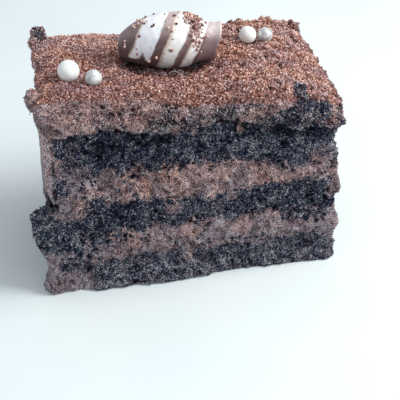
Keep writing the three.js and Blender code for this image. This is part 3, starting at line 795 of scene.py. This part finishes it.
# ---- the chocolate shell ----
# The shell's length, its largest radius and its neck's, and how far below its axis it is cut flat, in
# millimetres.
SHELL_LENGTH, SHELL_RADIUS, SHELL_NECK, SHELL_BASE = 32.8, 9.4, 6.0, 7.8
SHELL_HALF = SHELL_LENGTH / 2
SHELL_WIDEST, SHELL_BLUNT = 0.52, 0.11  # where it is widest, and how blunt its tip is: shares of its length
MOUTH_SLANT = 0.16  # how far the mouth leans for each millimetre of height
TIP_DROOP, NECK_DROOP = 1.9, 0.7  # how far the shell's two ends hang below its middle
STRIPE_LEAN = (0.26, 0.38)  # how far the stripes lean for each millimetre of depth and of height


def shell_radius(t):
    """The shell's radius at a share t of its length, from the blunt tip to the open neck."""
    if t < SHELL_WIDEST:
        share = ((t + SHELL_BLUNT) / (SHELL_WIDEST + SHELL_BLUNT)) ** 0.75
        return SHELL_RADIUS * math.sin(math.pi / 2 * share)
    down = min(max((t - SHELL_WIDEST) / (0.98 - SHELL_WIDEST), 0), 1) ** 1.2
    return blend(SHELL_NECK, SHELL_RADIUS, 0.5 + 0.5 * math.cos(math.pi * down)) + 0.3 * smooth(t, 0.93, 1)


def shell_matrix():
    """From the shell's own millimetres, with its axis along X, to its place on the frosting."""
    low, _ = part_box("chocolate_shell")
    x, y = SHELL_AXIS
    middle = place(x, y, 0)
    middle.z = low.z + SHELL_BASE * MM
    return Matrix.Translation(middle) @ Matrix.Rotation(SHELL_TURN, 4, "Z") @ Matrix.Scale(MM, 4)


def stripe_place(x, y, z):
    """How far along the stripes a place on the shell is, in millimetres from the tip: they lean, and bow out
    where they face the front."""
    round_it = math.degrees(math.atan2(-y, z))
    bow = 0.8 * math.exp(-((round_it - 75) / 35) ** 2)
    return x + SHELL_HALF - STRIPE_LEAN[0] * y - STRIPE_LEAN[1] * z - bow


def poured_under(x, y, z):
    """Where brown chocolate has run under the first white stripe, with one finger of it reaching up."""
    round_it = abs(math.degrees(math.atan2(-y, z)))
    start = 117 - 20 * math.exp(-((x + 8.8) / 0.8) ** 2) + 5 * noise.noise(Vector((x, y, z)) / 2.0)
    return smooth(round_it, start - 2.5, start + 2.5) * (1 - smooth(x, -5.0, -3.6))


SHELL_STEPS, SHELL_SIDES = 60, 96  # along the shell, and round it


def shell_profile():
    """Half the shell's outline, from the middle of its tip to the bottom of its mouth: how far along the
    shell and how far from its axis."""
    half, tip = SHELL_HALF, shell_radius(0)
    profile = [(-half - 0.6, 0.0), (-half - 0.5, tip * 0.45), (-half - 0.3, tip * 0.8)]
    for step in range(SHELL_STEPS + 1):
        t = step / SHELL_STEPS
        profile.append(((t - 0.5) * SHELL_LENGTH, shell_radius(t)))
    profile += [(half + 0.3, SHELL_NECK * 0.97), (half + 0.35, SHELL_NECK * 0.86), (half, SHELL_NECK * 0.7)]
    return profile + [(half - 0.5, SHELL_NECK * 0.5), (half - 0.8, 0.0)]


def bend_shell(bm):
    """Lets the shell's ends hang, and slants and flares its mouth. Keeps how far each spot had faced up,
    which sets the stripes' painted light and shade.
    """
    lift = bm.verts.layers.float.new("lift")
    for vertex in bm.verts:
        x, y, z = vertex.co
        vertex[lift] = smooth(z / max(math.hypot(y, z), 1.0), 0.35, 1.0)
        droop = (TIP_DROOP if x < 0 else NECK_DROOP) * min(abs(x) / SHELL_HALF, 1) ** 2
        mouth = smooth(x, SHELL_HALF - 4, SHELL_HALF)
        x += MOUTH_SLANT * smooth(x, 0, SHELL_HALF) * z - 0.8 * mouth * (1 - smooth(z, 0, 5))
        vertex.co = (x, y, z - droop + 0.4 * mouth ** 2 * smooth(z, 3, 6))


def flatten_foot(bm):
    """Cuts the shell off where it lies on the frosting, and closes the cut."""
    everything = bm.verts[:] + bm.edges[:] + bm.faces[:]
    flat = {"plane_co": (0, 0, -SHELL_BASE), "plane_no": (0, 0, 1), "clear_inner": True}
    cut = bmesh.ops.bisect_plane(bm, geom=everything, **flat)
    rim = [item for item in cut["geom_cut"] if isinstance(item, bmesh.types.BMEdge)]
    bmesh.ops.contextual_create(bm, geom=rim)


def make_shell(material):
    """The shell, spun from its outline, with the slight unevenness of poured chocolate."""
    bm = bmesh.new()
    verts = [bm.verts.new((x, 0, radius)) for x, radius in shell_profile()]
    edges = [bm.edges.new(pair) for pair in zip(verts, verts[1:])]
    around = {"cent": (0, 0, 0), "axis": (1, 0, 0), "angle": math.tau, "steps": SHELL_SIDES}
    bmesh.ops.spin(bm, geom=verts + edges, use_merge=True, **around)
    bmesh.ops.remove_doubles(bm, verts=bm.verts, dist=1e-4)
    bend_shell(bm)
    flatten_foot(bm)
    bmesh.ops.recalc_face_normals(bm, faces=bm.faces)
    bm.normal_update()
    for vertex in bm.verts:
        p = vertex.co.copy()
        swell = 0.16 * noise.noise(p / 6.0) + 0.05 * noise.noise(p / 1.7)
        if p.z > -SHELL_BASE + 0.5:
            vertex.co += vertex.normal * swell
    stripe = [stripe_place(*vertex.co) for vertex in bm.verts]
    poured = [poured_under(*vertex.co) for vertex in bm.verts]
    bm.transform(shell_matrix())
    mesh = finished_mesh("chocolate_shell_moulded", bm)
    write_attribute(mesh, "stripe", stripe)
    write_attribute(mesh, "poured", poured)
    return link_piece("chocolate_shell_moulded", mesh, material, ["chocolate_shell"])


def make_pearl(node, material, seed):
    """A panned pearl: nearly round, with small dents in its coating that are its own."""
    low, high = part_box(node)
    middle, radius = (low + high) / 2, (high.x - low.x) / 2
    bm = bmesh.new()
    bmesh.ops.create_icosphere(bm, subdivisions=5, radius=radius)
    shift = Vector((seed, seed * 3, 0))
    for vertex in bm.verts:
        p = vertex.co / MM + shift
        vertex.co *= 1 + 0.012 * noise.noise(p / 1.8) + 0.005 * noise.noise(p / 0.6)
    bm.transform(Matrix.Translation(middle))
    return link_piece(node + "_panned", finished_mesh(node + "_panned", bm), material, [node])


# ---- where the loose crumb lies ----
def under_topping(x, y):
    """True where the shell or a pearl stands on the frosting."""
    for px, py, radius in PEARL_FEET.values():
        if math.hypot(x - px, y - py) < radius:
            return True
    along, across = from_shell(x, y)
    return math.hypot(along / 13.5, across / 4.6) < 1


DARKER_SPOT = (66, 3, 8, 2.4)  # a spot near the front where the cocoa is drawn darker, in colour only: its middle, and its half sizes
UP = Vector((0, 0, 1))
TOP_FROM = 58  # every part of the frosting's top is higher than this, in millimetres


def cocoa_lightness(spot):
    """How much paler than elsewhere the cocoa is here, or darker: paler on its lumps, as painted light on
    their tops; paler to the right, partly a redder tone and partly painted light; paler at the back left;
    darker in the ring of painted shadow beside the shell, and at one spot near the front."""
    x, y = spot.x, spot.y
    lightness = 0.04 + 0.25 * smooth(x, 50, 85) + 0.2 * smooth(y, 28, 52) * (1 - smooth(x, 45, 70))
    darker_spot = math.exp(-((x - DARKER_SPOT[0]) / DARKER_SPOT[2]) ** 2 - ((y - DARKER_SPOT[1]) / DARKER_SPOT[3]) ** 2)
    return lightness + (0.14 * cocoa_relief(spot) - 0.75 * shell_shadow_ring(spot) - 0.22 * darker_spot)


def cocoa_on_top(surface, count, seed, sizes):
    """Cocoa crumb lying on the frosting: sparse in the ring of painted shadow round the shell and where the
    frosting is torn."""
    draw = random.Random(seed)
    spots = []
    while len(spots) < count:
        x, y = draw.uniform(-1.5, WIDTH - 2.5), draw.uniform(-1.0, DEPTH + 4.0)
        hit, normal, _, _ = surface.ray_cast(place(x, y, 100), -UP)
        size, tone = draw.uniform(*sizes), draw.random()
        if hit is None or own(hit).z < TOP_FROM or under_topping(x, y):
            continue
        spot = own(hit)
        # few grains in the ring of painted shadow round the shell, so that the dark frosting shows
        bare = max(smooth(-smear(spot), 1.0, 3.0), 0.75 * shell_shadow_ring(spot))
        chance = cocoa_share(spot, UP) * smooth(normal.z, 0.0, 0.6) * (1 - bare) + 0.02
        if draw.random() > chance:
            continue
        spots.append((hit + normal * size * 0.2 * MM, size, tone + cocoa_lightness(spot)))
    return spots


RAY_START = 40  # how far outside the slice the search for its sides begins, in millimetres


def crumbs_on_side(surface, count, seed, sizes, heights):
    """Crumb stuck to the four cut sides of a layer."""
    draw = random.Random(seed)
    spots = []
    sides = [(0, -1, WIDTH), (0, 1, WIDTH), (-1, 0, DEPTH), (1, 0, DEPTH)]
    lengths = [length for _, _, length in sides]
    while len(spots) < count:
        nx, ny, length = draw.choices(sides, lengths)[0]
        run, z = draw.uniform(0, length), draw.uniform(*heights)
        size, tone = draw.uniform(*sizes), draw.random()
        x = run if ny else (-RAY_START if nx < 0 else WIDTH + RAY_START)
        y = run if nx else (-RAY_START if ny < 0 else DEPTH + RAY_START)
        hit, normal, _, _ = surface.ray_cast(place(x, y, z), Vector((-nx, -ny, 0)))
        if hit is None:
            continue
        spots.append((hit + normal * size * 0.1 * MM, size, tone))
    return spots


# Cocoa crumb fallen on the shell: the places along it and round it (0 degrees up, 90 to the front), how far
# each cluster spreads in millimetres and degrees, and how many grains it has.
FALLEN = [((23.4, 2), (1.5, 15), 95), ((25.6, 32), (1.1, 16), 90), ((25.4, 62), (1.0, 12), 22),
          ((7.4, 12), (1.4, 10), 12), ((15, 56), (7, 30), 30)]
HEAPED_FROM = 20  # the clusters further along than this are thick heaps
BROWN_STRIPES = [(-math.inf, 5.0), (13.0, 15.8), (28.0, math.inf)]  # by their place along the stripes
OFF_SHELL = 20  # how far from the shell's axis the search for its surface begins, in millimetres


def crumbs_on_shell(surface, seed):
    """Pale grains on the brown stripes and dark ones on the white, with every tone where they lie thick."""
    draw = random.Random(seed)
    matrix = shell_matrix()
    spots = []
    for (along, angle), (wide, round_it), count in FALLEN:
        for _ in range(count):
            x = min(max(draw.gauss(along, wide), 2), 31) - SHELL_HALF
            turned = math.radians(draw.gauss(angle, round_it))
            y, z = -math.sin(turned), math.cos(turned)
            start = matrix @ Vector((x, OFF_SHELL * y, OFF_SHELL * z))
            middle = matrix @ Vector((x, 0, 0))
            hit, normal, _, _ = surface.ray_cast(start, (middle - start).normalized())
            at = stripe_place(*(matrix.inverted() @ hit))
            if along > HEAPED_FROM:
                tones = (0.0, 1.0)
            elif any(first < at < last for first, last in BROWN_STRIPES):
                tones = (0.7, 1.0)
            else:
                tones = (0.0, 0.35)
            tone, size = draw.uniform(*tones), draw.uniform(0.5, 1.25)
            spots.append((hit + normal * size * 0.15 * MM, size, tone))
    return spots


# ---- making everything ----
def make_floor():
    bm = bmesh.new()
    bmesh.ops.create_grid(bm, x_segments=2, y_segments=2, size=1.5)
    mesh = finished_mesh("floor", bm)
    mesh.materials.append(floor_material())
    floor = bpy.data.objects.new("floor", mesh)
    bpy.context.scene.collection.objects.link(floor)


# How fine each layer's mesh is, in millimetres: coarser where the layer is larger, so that none passes
# 200,000 triangles.
VOXELS = {"sponge_bottom": 0.345, "filling_lower": 0.345, "sponge_middle": 0.345, "filling_upper": 0.375,
          "sponge_top": 0.4, "frosting": 0.415}


def make_layers():
    """All six layers, by node."""
    mousse_solids = surface_of(*[bpy.data.objects[node] for node in FILLINGS])
    sponge_solids = surface_of(*[bpy.data.objects[node] for node in SPONGES])
    torn = cake_material("chocolate_sponge_torn", 0.57, 1.1)
    dragged = cake_material("chocolate_mousse_dragged", 0.4, 1.1)
    dusted = cake_material("chocolate_frosting_dusted", 0.3, 2.4, cocoa=True)
    kinds = {"sponge": (mousse_solids, torn, "chocolate_sponge"),
             "filling": (sponge_solids, dragged, "chocolate_mousse"),
             "frosting": (sponge_solids, dusted, "chocolate_frosting")}
    coarser = 1.0
    made = {}
    for node, voxel in VOXELS.items():
        kind = node.split("_")[0]
        made[node] = torn_layer(node, *kinds[kind], voxel * coarser)
    return made


def make_pearls():
    """Two large white pearls and two smaller silver ones."""
    pearls = {"white": pearl_material("white_sugar_pearl_panned", "#f4f4ef", "#e6ebe6", 0.0, 0.38),
              "silver": pearl_material("silver_sugar_pearl_panned", "#e2e2e0", "#a6a8aa", 0.15, 0.4)}
    for seed, node in enumerate(PEARL_FEET, start=1):
        kind = node.split("_")[1]
        make_pearl(node, pearls[kind], seed)


# Sizes of cocoa crumb on top, in millimetres, with as many grains of each.
COCOA_SIZES = {"fine": (0.3, 0.46), "middle": (0.42, 0.62), "coarse": (0.58, 0.8)}
COCOA_GRAINS = 9500
SLIVERS = (0.18, 0.34)  # how wide torn cell walls and curls of mousse are, in millimetres


def scatter_cocoa(forms, top, shell):
    """Dry cocoa crumb, all over the frosting's top and a little on the shell."""
    dust = crumb_material("cocoa_crumb_dry", COCOA_STOPS)
    for step, (kind, sizes) in enumerate(COCOA_SIZES.items()):
        grains = cocoa_on_top(top, COCOA_GRAINS, 11 + step, sizes)
        joined_grains("cocoa_crumb_" + kind, grains, forms, dust, 21 + step)
    shell_dust = crumb_material("cocoa_crumb_fallen", FALLEN_STOPS)
    fallen = crumbs_on_shell(surface_of(shell), 17)
    joined_grains("cocoa_crumb_on_shell", fallen, forms, shell_dust, 25)


def scatter_sponge_crumb(forms, layers):
    """Crumb that the knife has left all over the cut sides, and torn cell walls that stand out of the
    sponge, pale as painted light on their edges."""
    cut_sides = surface_of(*[layers[node] for node in SPONGES + FILLINGS[:2]])
    loose = crumbs_on_side(cut_sides, 1800, 31, (0.3, 0.75), (0.8, 62))
    crumb = crumb_material("sponge_crumb_loose", LOOSE_STOPS)
    joined_grains("sponge_crumb_loose", loose, forms, crumb, 23)
    walls = []
    for step, node in enumerate(SPONGES):
        low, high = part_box(node)
        heights = (low.z / MM + 0.9, high.z / MM)
        walls += crumbs_on_side(surface_of(layers[node]), 3100, 41 + step, SLIVERS, heights)
    wall = crumb_material("sponge_cell_walls_painted_light", LIT_WALL_STOPS)
    joined_grains("sponge_cell_walls_painted_light", walls, forms, wall, 26, long=3.6)


def scatter_curls(forms, top):
    """Thin curls of mousse that stand out of the frosting's torn sides and shine, their palest tones painted
    glints.
    """
    curls = crumbs_on_side(top, 4600, 51, SLIVERS, (55, 74))
    curl = crumb_material("frosting_curls_wet_painted_glint", CURL_GLINT_STOPS, roughness=0.3)
    joined_grains("frosting_curls", curls, forms, curl, 27, long=4.0)


set_camera()
set_light()
make_floor()
layers = make_layers()
shell = make_shell(shell_material())
make_pearls()
forms = grain_forms(6, 5)
top = surface_of(layers["frosting"])
scatter_cocoa(forms, top, shell)
scatter_sponge_crumb(forms, layers)
scatter_curls(forms, top)
